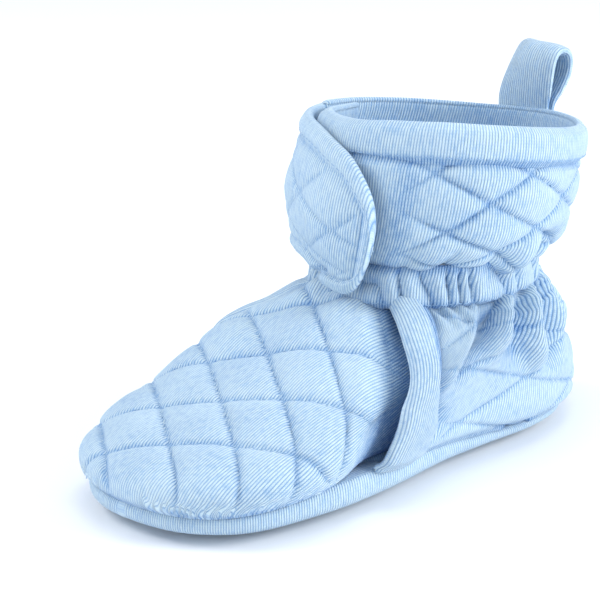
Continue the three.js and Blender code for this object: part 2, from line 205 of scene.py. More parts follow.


# outer and inner are grids of points; the cloth between them gets rounded rims. uv is in millimetres; the
# optional grid of painted shade darkens the colour point by point
def cloth(name, outer, inner, uv, material, body, ring=False, rim=5, ends=4, paintedShade=None, **keys):
    nu, nv = outer.shape[:2]
    mid, half = (outer + inner) / 2, (outer - inner) / 2
    theta = np.linspace(0, math.pi, rim + 2)[1:-1]
    j = np.r_[np.arange(nv), np.full(rim, nv - 1), np.arange(nv)[::-1], np.zeros(rim, int)]
    w = np.r_[np.ones(nv), np.cos(theta), -np.ones(nv), -np.cos(theta)]
    c = np.r_[np.zeros(nv), np.sin(theta), np.zeros(nv), np.sin(theta)]
    thick = np.linalg.norm(half, axis=-1)
    top, bottom = unit(mid[:, -1] - mid[:, -2]), unit(mid[:, 0] - mid[:, 1])
    capDir = np.zeros((nu, len(j), 3))
    capDir[:, nv : nv + rim] = top[:, None]
    capDir[:, 2 * nv + rim :] = bottom[:, None]
    offset = w[None, :, None] * half[:, j] + (c[None, :] * thick[:, j])[..., None] * capDir
    rows = list(mid[:, j] + offset)
    capShift = np.r_[np.zeros(nv), theta, np.zeros(nv), -(math.pi - theta)]
    uvRows = [np.stack([row[j, 0], row[j, 1] + capShift * thick[i % nu, j]], -1) for i, row in enumerate(uv)]
    paintedShadeMask = np.zeros((nu, nv)) if paintedShade is None else paintedShade
    # painted shade: the inner face and the inner half of each rim get a fixed amount
    paintedShadeRows = list(np.where(w > 0, paintedShadeMask[:, j], 0.3))
    uvEnd = uvRows[0], uvRows[-1]
    if not ring:
        for at, inward, atEnd in ((0, 1, False), (nu - 1, nu - 2, True)):
            away = unit(mid[at] - mid[inward])[j]
            for phi in np.radians(np.linspace(0, 80, ends + 1)[1:]):
                reach = thick[at, j][:, None]
                spot = len(rows) if atEnd else 0
                rows.insert(spot, mid[at, j] + math.cos(phi) * offset[at] + math.sin(phi) * reach * away)
                uvRows.insert(spot, uvEnd[atEnd] + (phi if atEnd else -phi) * reach * [1, 0])
                paintedShadeRows.insert(spot, paintedShadeRows[-1 if atEnd else 0])
    loop, count = len(j), len(rows)
    steps = count if ring else count - 1
    i, m = np.meshgrid(np.arange(steps), np.arange(loop), indexing="ij")
    k, n = (i + 1) % count, (m + 1) % loop
    faces = np.stack([i * loop + m, k * loop + m, k * loop + n, i * loop + n], -1).reshape(-1, 4).tolist()
    table = np.array(uvRows)
    after = i + 1 if ring else k
    uvs = list(np.stack([table[i, m], table[after, m], table[after, n], table[i, n]], -2).reshape(-1, 2))
    if not ring:
        innerOf = lambda k: 2 * nv + rim - 1 - k
        ladder = [[innerOf(k), k, k + 1, innerOf(k + 1)] for k in range(nv - 1)]
        topFan = list(range(nv - 1, nv + rim + 1))[::-1]
        bottomFan = [0, *range(loop - 1, loop - rim - 1, -1), innerOf(0)]
        for i, flip in ((0, False), (count - 1, True)):
            for face in [*ladder, topFan, bottomFan]:
                face = face[::-1] if flip else face
                faces.append([i * loop + m for m in face])
                uvs += [table[i][m] for m in face]
    points, paintedShades = np.concatenate(rows), np.concatenate(paintedShadeRows)
    return finish(name, points, faces, uvs, material, body, paintedShades=paintedShades, **keys)


# Quilting: two families of sewn lines on the flat cloth. s runs across, h runs up; both in millimetres.
def waver(a, b, scale, seed):
    k = 1 / scale
    return (
        np.sin(a * k + 1.3 * seed + 0.7 * np.sin(b * k * 0.8 + seed))
        + 0.6 * np.sin(b * k * 1.7 - 2.1 * seed + 0.5 * a * k)
        + 0.35 * np.sin((a + b) * k * 2.6 + 0.9 * seed)
    ) / 1.95


def quiltFamilies(s, h, q):
    a = (h + q["slopeA"] * s - q["startA"]) / q["pitchA"] + 0.025 * waver(s, h, 9, 1.0)
    b = (h - q["slopeB"] * s - q["startB"]) / q["pitchB"] + 0.025 * waver(s, h, 8, 2.0)
    return a, b


# How far each point is from the nearest quilting line of each family, in millimetres
def seamGap(s, h, q):
    a, b = quiltFamilies(s, h, q)
    gapA = np.abs(a - np.round(a)) * q["pitchA"] / math.hypot(1, q["slopeA"])
    gapB = np.abs(b - np.round(b)) * q["pitchB"] / math.hypot(1, q["slopeB"])
    return gapA, gapB


# Height of the quilted cloth, and the painted shade along its sewn lines, from 0 to 1
def quiltPuff(s, h, q):
    a, b = quiltFamilies(s, h, q)
    pillow = (np.abs(np.sin(math.pi * a)) * np.abs(np.sin(math.pi * b))) ** 0.4
    gapA, gapB = seamGap(s, h, q)
    crease = np.minimum(np.exp(-((gapA / 0.5) ** 2)) + np.exp(-((gapB / 0.5) ** 2)), 1.2)
    return q["puff"] * (pillow - 0.6) - q["crease"] * crease, 0.8 * crease


# Lines that follow every whole number of a field over a grid of points, where keep is true
def contour(points, field, keep):
    verts, edges = [], []
    for level in range(int(math.ceil(field.min())), int(math.floor(field.max())) + 1):
        f = field - level - 1e-6
        found = {}

        def crossing(p, q):
            key = (p, q) if p < q else (q, p)
            if key not in found:
                share = f[p] / (f[p] - f[q])
                found[key] = len(verts)
                verts.append(points[p] * (1 - share) + points[q] * share)
            return found[key]

        sign = f > 0
        low = sign[:-1, :-1]
        mixed = (low != sign[1:, :-1]) | (low != sign[:-1, 1:]) | (low != sign[1:, 1:])
        for i, k in zip(*np.nonzero(mixed & keep[:-1, :-1])):
            i, k = int(i), int(k)
            corners = [(i, k), (i + 1, k), (i + 1, k + 1), (i, k + 1)]
            sides = zip(corners, corners[1:] + corners[:1])
            cut = [crossing(p, q) for p, q in sides if sign[p] != sign[q]]
            if len(cut) == 2:
                edges.append(tuple(cut))
    return verts, edges


# The sewn lines of both families, as points with their normals, just under the cloth's face
def quiltLines(outer, n, s, h, q, keep):
    sewn = np.concatenate([outer - 0.05 * n, n], -1)
    a, b = quiltFamilies(s, h, q)
    return [contour(sewn, a, keep), contour(sewn, b, keep)]


def linear(hexColour):
    channels = [int(hexColour[i : i + 2], 16) / 255 for i in (1, 3, 5)]
    return [c / 12.92 if c <= 0.04045 else ((c + 0.055) / 1.055) ** 2.4 for c in channels] + [1.0]


def newMaterial(name):
    material = bpy.data.materials.new(name)
    material.use_nodes = True
    material.node_tree.nodes.clear()
    return material, material.node_tree


# Adds a node; a kind in capitals is the operation of a maths node. inputs is a list or a dictionary of values,
# sockets, or nodes whose first output is meant
def node(tree, kind, inputs=(), **settings):
    if kind.isupper():
        kind, settings = "ShaderNodeMath", {"operation": kind}
    made = tree.nodes.new(kind)
    for key, value in settings.items():
        setattr(made, key, value)
    for key, value in inputs.items() if isinstance(inputs, dict) else enumerate(inputs):
        if isinstance(value, bpy.types.Node):
            value = value.outputs[0]
        if isinstance(value, bpy.types.NodeSocket):
            tree.links.new(value, made.inputs[key])
        else:
            made.inputs[key].default_value = value
    return made


jersey = {
    "wale": 0.6,  # width of one column of knit stitches; real jersey is nearer 0.5, too fine to show
    "course": 0.5,  # height of one row
    "rib": 0.17,  # relief of the knit
    "fuzz": 0.07,
    "slant": 1.6,  # how steeply the legs of a stitch lean
    "roughness": 0.88, "specular": 0.25,
}


# Interlock cotton jersey, brushed a little: soft and matt, with fine columns of v-shaped stitches. Its colour
# holds painted shade: a deeper blue in the knit's gaps and in the creases, down to the shadow colour
def cottonJersey(name, light, deep, shadow="#5480B8", sheen=0.35, rib=1.0):
    material, tree = newMaterial(name)
    where = node(tree, "ShaderNodeUVMap", uv_map="cloth")
    stitch = (1 / jersey["wale"], 1 / jersey["course"], 0.0)
    counted = node(tree, "ShaderNodeVectorMath", [where, stitch], operation="MULTIPLY")
    xy = node(tree, "ShaderNodeSeparateXYZ", [counted])
    across, up = xy.outputs[0], xy.outputs[1]  # counted in wales and courses
    part = node(tree, "FRACT", [across])
    side = node(tree, "SUBTRACT", [part, 0.5])
    column = node(tree, "ABSOLUTE", [side])  # 0 in the middle of a wale
    square = node(tree, "MULTIPLY", [column, column])
    ridge = node(tree, "MULTIPLY_ADD", [square, -4.0, 1.0])
    step = node(tree, "MULTIPLY_ADD", [column, jersey["slant"], up])
    angle = node(tree, "MULTIPLY", [step, 2 * math.pi])
    legs = node(tree, "SINE", [angle])
    # yarn of uneven thickness, in streaks along the wales
    yarn = node(tree, "ShaderNodeVectorMath", [counted, (0.8, 0.28, 0.0)], operation="MULTIPLY")
    slub = node(tree, "ShaderNodeTexNoise", {"Vector": yarn, "Scale": 1.0, "Detail": 2.0})
    body = node(tree, "MULTIPLY", [slub, 1.6])
    legHeight = node(tree, "MULTIPLY_ADD", [legs, 0.12, body])
    knit = node(tree, "MULTIPLY", [ridge, legHeight])
    place = node(tree, "ShaderNodeTexCoord").outputs["Object"]
    fuzz = node(tree, "ShaderNodeTexNoise", {"Vector": place, "Scale": 1500.0, "Detail": 3.0})
    cloud = node(tree, "ShaderNodeTexNoise", {"Vector": place, "Scale": 90.0, "Detail": 2.0})
    relief = node(tree, "MULTIPLY", [knit, rib])
    height = node(tree, "MULTIPLY_ADD", [fuzz, jersey["fuzz"] / jersey["rib"], relief])
    bump = node(tree, "ShaderNodeBump", {"Height": height, "Strength": 0.9, "Distance": jersey["rib"] * mm})
    paintedShade = node(tree, "ShaderNodeAttribute", attribute_name="paintedShade").outputs["Fac"]  # painted shade: deeper blue in the creases, hollows and shaded faces
    cloudy = node(tree, "MULTIPLY", [cloud, 0.4])
    # painted shade in the gaps between the wales, plus a cloudy tone that varies at random
    knitShadeAndToneOrEdgeThinning = node(tree, "MULTIPLY_ADD", [knit, 0.85, cloudy])
    # the painted shade of the creases pulls the colour down the ramp, towards the shadow colour
    paintedShadeMask = node(tree, "MULTIPLY", [paintedShade, 0.4])
    shade = node(tree, "SUBTRACT", [knitShadeAndToneOrEdgeThinning, paintedShadeMask])
    ramp = node(tree, "ShaderNodeValToRGB", [shade])
    ramp.color_ramp.elements[0].color = linear(shadow)
    ramp.color_ramp.elements[1].position = 0.9
    ramp.color_ramp.elements[1].color = linear(light)
    ramp.color_ramp.elements.new(0.32).color = linear(deep)
    look = {
        "Base Color": ramp,
        "Normal": bump,
        "Roughness": jersey["roughness"],
        "Sheen Weight": sheen,
        "Sheen Roughness": 0.45,
        "Sheen Tint": linear("#E4F1FF"),
        "Specular IOR Level": jersey["specular"],
    }
    shader = node(tree, "ShaderNodeBsdfPrincipled", look)
    node(tree, "ShaderNodeOutputMaterial", [shader])
    return material


quiltedJersey = cottonJersey("quilted_cotton_jersey", "#C8DDE8", "#8DB0D3")
trimJersey = cottonJersey("ribbed_cotton_trim", "#C6DBE7", "#8BAED2", rib=1.3)
# the lining is the same jersey painted lighter: painted light for the dim inside of the shoe
liningJersey = cottonJersey("cotton_lining", "#CFE9FB", "#A6CCF0", shadow="#6F9FD2", sheen=0.2)


# A material of one colour, a little uneven. bumpDepth is in millimetres
def plainMaterial(name, colour, roughness, bumpScale, bumpDepth):
    material, tree = newMaterial(name)
    place = node(tree, "ShaderNodeTexCoord").outputs["Object"]
    noise = node(tree, "ShaderNodeTexNoise", {"Vector": place, "Scale": bumpScale, "Detail": 4.0})
    bump = node(tree, "ShaderNodeBump", {"Height": noise, "Strength": 0.8, "Distance": bumpDepth * mm})
    shade = node(tree, "ShaderNodeValToRGB", [noise])
    shade.color_ramp.elements[0].color = [c * 0.86 for c in linear(colour)[:3]] + [1.0]
    shade.color_ramp.elements[1].color = linear(colour)
    look = {"Base Color": shade, "Normal": bump, "Roughness": roughness}
    shader = node(tree, "ShaderNodeBsdfPrincipled", look)
    node(tree, "ShaderNodeOutputMaterial", [shader])
    return material


# Screen-printed silicone: white, smooth and a little glossy
gripSilicone = plainMaterial("printed_silicone", "#F6F8FB", 0.38, 600, 0.03)
# Spun polyester thread, sunk in the cloth; its darker colour is painted shade for the hollow it lies in
thread = plainMaterial("polyester_thread", "#92B4D6", 0.7, 2500, 0.02)
# Hook-and-loop tape: matt nylon pile
closurePile = plainMaterial("nylon_closure_tape", "#A9CBE6", 0.95, 1800, 0.25)
# Woven elastic, off-white
elasticWeb = plainMaterial("woven_elastic", "#F0EFEA", 0.8, 1200, 0.1)


# Starts a Geometry Nodes tree; inputs gives the kind of each of its inputs
def newTree(name, inputs):
    tree = bpy.data.node_groups.new(name, "GeometryNodeTree")
    for label, kind in {"Geometry": "Geometry", **inputs}.items():
        tree.interface.new_socket(label, in_out="INPUT", socket_type="NodeSocket" + kind)
    tree.interface.new_socket("Geometry", in_out="OUTPUT", socket_type="NodeSocketGeometry")
    return tree, node(tree, "NodeGroupInput").outputs


# Stitches along a line: small capsules, turned this way and that, lying on the cloth
def stitchTree():
    floats = dict.fromkeys(("Pitch", "Length", "Thickness", "Zigzag"), "Float")
    tree, given = newTree("stitchRun", {**floats, "Thread": "Material"})
    line = node(tree, "GeometryNodeMeshToCurve", {"Mesh": given["Geometry"]})
    spaced = {"Curve": line, "Length": given["Pitch"]}
    points = node(tree, "GeometryNodeResampleCurve", spaced, mode="LENGTH")
    capsule = node(tree, "GeometryNodeMeshUVSphere", {"Segments": 6, "Rings": 5, "Radius": 0.5})
    tangent = node(tree, "GeometryNodeInputTangent")
    facing = node(tree, "GeometryNodeInputNamedAttribute", {"Name": "facing"}, data_type="FLOAT_VECTOR")
    along = node(tree, "FunctionNodeAlignEulerToVector", {"Vector": tangent}, axis="Z")
    flatTo = {"Rotation": along, "Vector": facing}
    flat = node(tree, "FunctionNodeAlignEulerToVector", flatTo, axis="X", pivot_axis="Z")
    index = node(tree, "GeometryNodeInputIndex")
    odd = node(tree, "MODULO", [index, 2.0])
    side = node(tree, "SUBTRACT", [odd, 0.5])
    angle = node(tree, "MULTIPLY", [side, given["Zigzag"]])
    spin = {"Rotation": flat, "Angle": angle, "Axis": (1.0, 0.0, 0.0)}
    turn = node(tree, "FunctionNodeRotateEuler", spin, rotation_type="AXIS_ANGLE", space="LOCAL")
    size = node(tree, "ShaderNodeCombineXYZ", [given["Thickness"], given["Thickness"], given["Length"]])
    laid = {"Points": points, "Instance": capsule, "Rotation": turn, "Scale": size}
    placed = node(tree, "GeometryNodeInstanceOnPoints", laid)
    real = node(tree, "GeometryNodeRealizeInstances", [placed])
    smoothed = node(tree, "GeometryNodeSetShadeSmooth", [real])
    done = node(tree, "GeometryNodeSetMaterial", {"Geometry": smoothed, "Material": given["Thread"]})
    node(tree, "NodeGroupOutput", [done])
    return tree


stitchRun = stitchTree()


# Gives a Geometry Nodes modifier its sizes, and leaves its result as a plain mesh
def bake(piece, tree, sizes):
    modifier = piece.modifiers.new(tree.name, "NODES")
    modifier.node_group = tree
    for item in tree.interface.items_tree:
        if item.in_out == "INPUT" and item.name in sizes:
            modifier[item.identifier] = sizes[item.name]
    graph = bpy.context.evaluated_depsgraph_get()
    made = bpy.data.meshes.new_from_object(piece.evaluated_get(graph), depsgraph=graph)
    piece.modifiers.clear()
    piece.data = made
    made.name = piece.name


# runs is a list of (points with their normals, edges) in millimetres; stitches are laid along them
def stitches(name, runs, body, pitch=1.25, length=1.0, thickness=0.27, zigzag=0.9, blendWith=None):
    verts, edges = [], []
    for points, links in runs:
        edges += [(a + len(verts), b + len(verts)) for a, b in links]
        verts += list(points)
    points = np.array(verts, float)
    points[:, 1] += soleMiddle
    mesh = bpy.data.meshes.new(name)
    mesh.from_pydata((points[:, :3] * mm).tolist(), edges, [])
    mesh.attributes.new("facing", "FLOAT_VECTOR", "POINT").data.foreach_set("vector", points[:, 3:].ravel())
    piece = newObject(name, mesh)
    sizes = {"Pitch": pitch * mm, "Length": length * mm, "Thickness": thickness * mm, "Zigzag": zigzag}
    bake(piece, stitchRun, {**sizes, "Thread": thread})
    if blendWith:
        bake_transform(piece)
    else:
        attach(piece, body)


# One line of stitches through the given points
def chain(points, n, closed=False):
    links = [(i, i + 1) for i in range(len(points) - 1)]
    return list(np.concatenate([points, n], -1)), links + ([(len(points) - 1, 0)] if closed else [])


def gridOf(nu, nv, low=0.0, high=1.0, ring=False):
    a = np.arange(nu if ring else nu + 1) / nu
    return np.meshgrid(a, np.linspace(low, high, nv + 1), indexing="ij")


# The sole: one slack pillow, flat where it stands, its edge rolled up to the seam
sole = {
    "puff": 0.8, "crease": 0.3, "slopeA": 0.62, "slopeB": 0.62, "pitchA": 15.0, "pitchB": 15.0,
    "startA": 3.0, "startB": 6.0,
    "roll": 9.0,  # width of the rolled edge
    "widest": 0.62,  # how high the widest place is, as a share of the sole
    "tuck": 1.3,  # how far it comes in again above that
    "inset": 0.9,
    "heelInset": 1.1,  # more round the heel, where the quarter bulges over it
    "insoleInset": 6.6,
}


def closePoles(piece):
    work = bmesh.new()
    work.from_mesh(piece.data)
    bmesh.ops.remove_doubles(work, verts=work.verts, dist=0.02 * mm)
    bmesh.ops.recalc_face_normals(work, faces=work.faces)
    work.to_mesh(piece.data)
    work.free()


# profile lists (share of the way out, grow, z) from the middle of the underside to the middle of the top
def pillow(name, t, profile, material, shape, slotName, replaces):
    loops, nu = [], len(t)
    for share, grow, z in profile:
        ring = outline(t, grow)
        spine = np.stack([0 * t, np.clip(ring[:, 1], -30, 33) * 0.8, 0 * t], -1)
        loops.append(spine + (ring - spine) * share + np.stack([0 * t, 0 * t, z + 0 * t], -1))
    grid = np.array(loops)
    share = np.array([p[0] for p in profile])[:, None]
    lift, paintedShadeMask = quiltPuff(grid[..., 0], grid[..., 1], shape)
    lift = np.minimum(lift, 0.3) * (1 - between(share, 0.86, 1.0))
    under = np.arange(len(profile))[:, None] < len(profile) / 2
    grid[..., 2] += np.where(under, np.maximum(-lift, -0.25), lift)
    i, k = np.meshgrid(np.arange(len(profile) - 1), np.arange(nu), indexing="ij")
    n = (k + 1) % nu
    faces = np.stack([i * nu + k, i * nu + n, (i + 1) * nu + n, (i + 1) * nu + k], -1).reshape(-1, 4)
    around = t * last["length"] * 0.42
    run = np.cumsum(np.r_[0, np.linalg.norm(np.diff(grid[:, 0], axis=0), axis=-1)])
    flatUv = grid[..., :2]
    wallUv = np.stack(np.broadcast_arrays(around[None, :], run[:, None]), -1)
    wall = (share[i, 0] >= 1) & (share[i + 1, 0] >= 1)
    corners = [(i, k), (i, n), (i + 1, n), (i + 1, k)]
    uvs = []
    for a, b in corners:
        lap = (b < k)[..., None] * [around[-1], 0]
        uvs.append(np.where(wall[..., None], wallUv[a, b] + lap, flatUv[a, b]))
    uvs = np.stack(uvs, -2).reshape(-1, 2)
    # painted shade along the sewn lines, left off the rolled edge
    paintedShades = np.broadcast_to(paintedShadeMask * (share < 0.9), grid.shape[:2]).ravel()
    points = grid.reshape(-1, 3)
    piece = finish(name, points, faces.tolist(), uvs, material, "shoe", slotName, replaces, paintedShades)
    closePoles(piece)


def makeSole():
    t = np.linspace(0, 2 * math.pi, 240, endpoint=False)
    seam = last["seamHeight"] + seamLift(t) - 0.2
    middle = floorGap + (seam - floorGap) * sole["widest"]
    fromToe = np.degrees(np.arccos(np.clip(np.cos(t), -1, 1)))
    edge = -sole["inset"] + 0.2 * waver(t * 40, t * 0, 6, 3) - sole["heelInset"] * between(fromToe, 90, 125)
    profile = [(share, edge - sole["roll"], floorGap) for share in np.linspace(0, 1, 36)]
    for angle in np.radians(np.linspace(-90, 90, 25)[1:]):
        if angle < 0:
            grow = edge - sole["roll"] * (1 - math.cos(angle)) ** 1.15
            z = floorGap + (middle - floorGap) * (1 + math.sin(angle))
        else:
            grow = edge - sole["tuck"] * (1 - math.cos(angle))
            z = middle + (seam - middle) * math.sin(angle)
        profile.append((1.0, grow, z))
    profile += [(share, edge - sole["tuck"], seam - 0.1) for share in np.linspace(1, 0, 12)[1:]]
    pillow("sole_cover", t, profile, quiltedJersey, sole, "quilted_jersey", ["outsole", "sole_batting"])


def makeInsole():
    t = np.linspace(0, 2 * math.pi, 120, endpoint=False)
    low, high = boxMm("insole")
    inset = -sole["insoleInset"]
    profile = [(share, inset, low[2]) for share in np.linspace(0, 1, 20)]
    profile += [(1.0, inset + 0.7, (low[2] + high[2]) / 2)]
    profile += [(share, inset, high[2]) for share in np.linspace(1, 0, 30)]
    pillow("insole_pad", t, profile, liningJersey, sole, "lining_jersey", ["insole"])


makeSole()
makeInsole()
print("sole made")

# The vamp: quilted over the toes and the instep, dipping where the quarter's edge lies on it
vamp = {
    "puff": 1.15, "crease": 0.3, "slopeA": 0.62, "slopeB": 0.5, "pitchA": 13.2, "pitchB": 15.3,
    "startA": -6.3, "startB": -32.6,
    "under": 20.0,  # degrees that it runs on under the quarter
    "sink": 4.4,  # how far it dips beside the quarter's edge
    "shoulder": 2.4,  # fullness of the far side of the instep
    "drop": 2.2,  # hollow of the instep
    "seamTuck": 0.9, "toeBulge": 0.7, "waver": 0.35, "thick": 2.2, "lining": 1.5,
}


# A thin lining between two heights along the normals, with every third point of the grids
def makeLining(name, p, n, high, low, uv, cadName):
    few = (slice(None, None, 3), slice(None, None, 3))
    outer, inner = ((p + n * lift[..., None])[few] for lift in (high, low))
    keys = {"slotName": "lining_jersey", "replaces": [cadName]}
    cloth(name, outer, inner, uv[few], liningJersey, "shoe", **keys)


# Where each point of the foot lies on the flat cloth: across from the middle of the instep, and along
def unrollFoot(p, t):
    side = np.radians(np.linspace(0, 130, 391))
    rise = np.linspace(0, 1, 161)
    dense = foot(*np.meshgrid(side, rise, indexing="ij"))
    climb = np.maximum.accumulate(dense[..., 1], axis=1) + rise * 1e-4
    levels = np.arange(-62.0, 34.0, 0.5)
    across = np.zeros((len(levels), len(side)))
    for i, level in enumerate(levels):
        meet = np.array([np.interp(level, row, rise) for row in climb])
        line = foot(side, meet)
        across[i] = np.r_[0, np.cumsum(np.linalg.norm(np.diff(line[:, [0, 2]], axis=0), axis=1))]
    row = np.clip((p[..., 1] - levels[0]) / 0.5, 0, len(levels) - 1.001)
    column = np.clip(np.abs(t) / side[-1], 0, 1) * (len(side) - 1.001)
    i, k = row.astype(int), column.astype(int)
    f, g = row - i, column - k
    q = (across[i, k] * (1 - g) + across[i, k + 1] * g) * (1 - f)
    q += (across[i + 1, k] * (1 - g) + across[i + 1, k + 1] * g) * f
    front = between(np.cos(t), 0.4, 1.0)
    along = p[..., 1] + 0.9 * np.minimum(p[..., 2] - last["seamHeight"], 16) * front
    return np.sign(np.sin(t)) * q, along


def makeVamp():
    aa, vv = gridOf(250, 100)
    limit = quarterEdge(vv) + vamp["under"]
    deg = -limit + 2 * limit * aa
    t = np.radians(deg)
    p = foot(t, vv)
    n = normals(p)
    s, along = unrollFoot(p, t)
    puff, paintedShadeMask = quiltPuff(s, p[..., 1], vamp)
    up = vv * 45  # about how far above the seam
    edgeGap = (np.abs(deg) - quarterEdge(vv)) * 0.45  # how far past the quarter's edge
    calm = (1 - between(edgeGap, -8, -1)) * between(up, 0.5, 5)
    farSide = between(-deg, 5, 25) * between(vv, 0.3, 0.5)  # the side that turns away stays full
    sink = -vamp["sink"] * between(edgeGap, -8.5, 0.5) * (1 - 0.6 * farSide)
    shoulder = vamp["shoulder"] * hump(deg, -38, 30) * hump(vv, 0.66, 0.36)
    drop = -vamp["drop"] * hump(vv, 0.5, 0.42) * ((1 + np.cos(t)) / 2) ** 0.8
    tuck = -vamp["seamTuck"] * np.exp(-((up / 0.9) ** 2))
    toeBulge = vamp["toeBulge"] * hump(up, 5, 6) * between(np.cos(t), 0.0, 0.8)
    pleats = (0.55 * np.sin(np.radians(deg) * 15) + 1.2 * hump(deg, -25, 30)) * between(vv, 0.8, 0.97)
    soft = vamp["waver"] * waver(s, p[..., 1], 11, 4)
    lift = puff * calm + sink + drop + tuck + toeBulge + pleats + soft + shoulder
    outer = p + n * lift[..., None]
    inner = p + n * (sink + drop - vamp["thick"])[..., None]
    uv = np.stack([s, along], -1)
    # painted shade: along the sewn lines, a painted shadow beside the quarter's bound edge (weaker on the far
    # side), and in the crease at the sole's seam
    paintedShade = paintedShadeMask * calm + (1.5 - 1.0 * farSide) * between(edgeGap, -6.5, 0) + 0.8 * np.exp(-((up / 1.3) ** 2))
    piece = cloth("vamp", outer, inner, uv, quiltedJersey, "shoe", paintedShade=paintedShade, replaces=["vamp_outer"])
    back = sink + drop - vamp["thick"] - 0.3
    makeLining("vamp_lining_cloth", p, n, back, back - vamp["lining"], uv, "vamp_lining")
    lines = quiltLines(outer, n, s, p[..., 1], vamp, (edgeGap < -0.5) & (up > 1))
    stitches("vamp_quilting", lines, "shoe")


makeVamp()
print("vamp made")

# The heel quarter: gathered into the ankle elastic at the sides and back, with a bound front edge
quarter = {
    "puff": 0.9, "crease": 0.25, "slopeA": 0.45, "slopeB": 0.5, "pitchA": 12.0, "pitchB": 14.0,
    "startA": 4.0, "startB": 8.0, "foldDepth": 6.0,
    "foldPitch": 20.3,  # degrees between the gathers
    "firstFold": 81.5, "foldLean": 16.0,
    "foldFoot": 0.34,  # how far down the gathers reach, as a share of the height
    "belly": 1.7,  # fullness low on the sides
    "heelBelly": 0.6,  # and at the back
    "waist": 1.1,
    "groove": 1.5,  # beside the binding
    "seamTuck": 1.9, "topTuck": 0.6, "thick": 2.1, "lining": 1.5,
}
binding = {
    "width": [12, 12, 10, 9, 11, 15.5],  # degrees, from the sole up
    "base": 0.4, "dome": 1.0, "lowFullness": 0.8,
    "farDrop": 1.3,  # the far one lies lower
    "thick": 2.2,
}


def makeQuarter():
    aa, vv = gridOf(300, 96)
    start = quarterEdge(vv) + spline(binding["width"], vv)[..., 0] - 1.5
    deg = start + (360 - 2 * start) * aa
    t = np.radians(deg)
    p = foot(t, vv)
    n = normals(p)
    fromToe = 180 - np.abs(180 - deg)
    s = (180 - deg) * (0.62 - 0.2 * vv)
    h = vv * 36
    puff, paintedShadeMask = quiltPuff(s, h, quarter)
    lean = quarter["foldLean"] * np.maximum(0.8 - vv, 0)
    phase = (fromToe - quarter["firstFold"] - lean) / quarter["foldPitch"]
    phase = phase + 0.08 * waver(s, h, 7, 6)
    ridge = (0.5 - 0.5 * np.cos(2 * math.pi * phase)) ** 1.6
    reach = quarter["foldFoot"] + 0.1 * np.sin(phase * 2.6 + 0.5)
    envelope = between(fromToe, 70, 82) * between(vv, reach, reach + 0.28)
    folds = quarter["foldDepth"] * (ridge - 0.56) * envelope * (1 - 0.35 * between(vv, 0.93, 1.0))
    small = 0.5 * np.sin(s * 1.9 + 1.5 * np.sin(h * 0.3)) * between(vv, 0.78, 0.97)
    calm = between(fromToe - start, 1, 9)
    full = quarter["belly"] + (quarter["heelBelly"] - quarter["belly"]) * between(fromToe, 100, 145)
    belly = full * (1 - between(vv, 0.08, 0.42)) - quarter["waist"] * between(vv, 0.42, 0.75) - 0.5
    groove = -quarter["groove"] * np.exp(-(((fromToe - start) / 3.0) ** 2)) * between(vv, 0.05, 0.2)
    tuck = groove - quarter["seamTuck"] * np.exp(-((h / 1.5) ** 2)) - quarter["topTuck"] * between(vv, 0.93, 1)
    soft = 0.35 * waver(s, h, 9, 5)
    lift = belly + tuck + (puff * (1 - 0.6 * envelope) + soft) * calm + folds + small
    limit = -5.0 * (1 - between(vv, 0.8, 0.97))  # the gathers stay outside the ankle's lining
    lift = np.maximum(lift, limit - 2.6)
    lowest = np.maximum(np.minimum(lift, 0.6) - quarter["thick"], limit - 3.6)
    outer = p + n * lift[..., None]
    inner = p + n * lowest[..., None]
    around = np.linspace(50, 310, 521)
    level = foot(np.radians(around), 0 * around + 0.45)
    run = np.r_[0, np.cumsum(np.linalg.norm(np.diff(level, axis=0), axis=-1))]
    uv = np.stack([np.interp(deg, around, run), h], -1)
    # painted shade: along the sewn lines, in the valleys of the gathers, in the crease at the sole's seam and
    # in the groove beside the binding
    paintedShade = paintedShadeMask * calm * 0.8 + (1 - ridge) * envelope * 0.7 + 0.7 * np.exp(-((h / 1.2) ** 2)) - groove * 0.7
    piece = cloth("heel_quarter", outer, inner, uv, quiltedJersey, "shoe", paintedShade=paintedShade, replaces=["quarter_outer"])
    back = np.maximum(lowest - 0.2, limit - 3.7)
    low = np.maximum(back - quarter["lining"], limit - 4.6)
    makeLining("quarter_lining_cloth", p, n, back, low, uv, "quarter_lining")
    keep = (calm > 0.4) & (vv > 0.06) & (vv < 0.92) & (envelope < 0.75)
    stitches("quarter_quilting", quiltLines(outer, n, s, h, quarter, keep), "shoe", thickness=0.28)


makeQuarter()
print("quarter made")


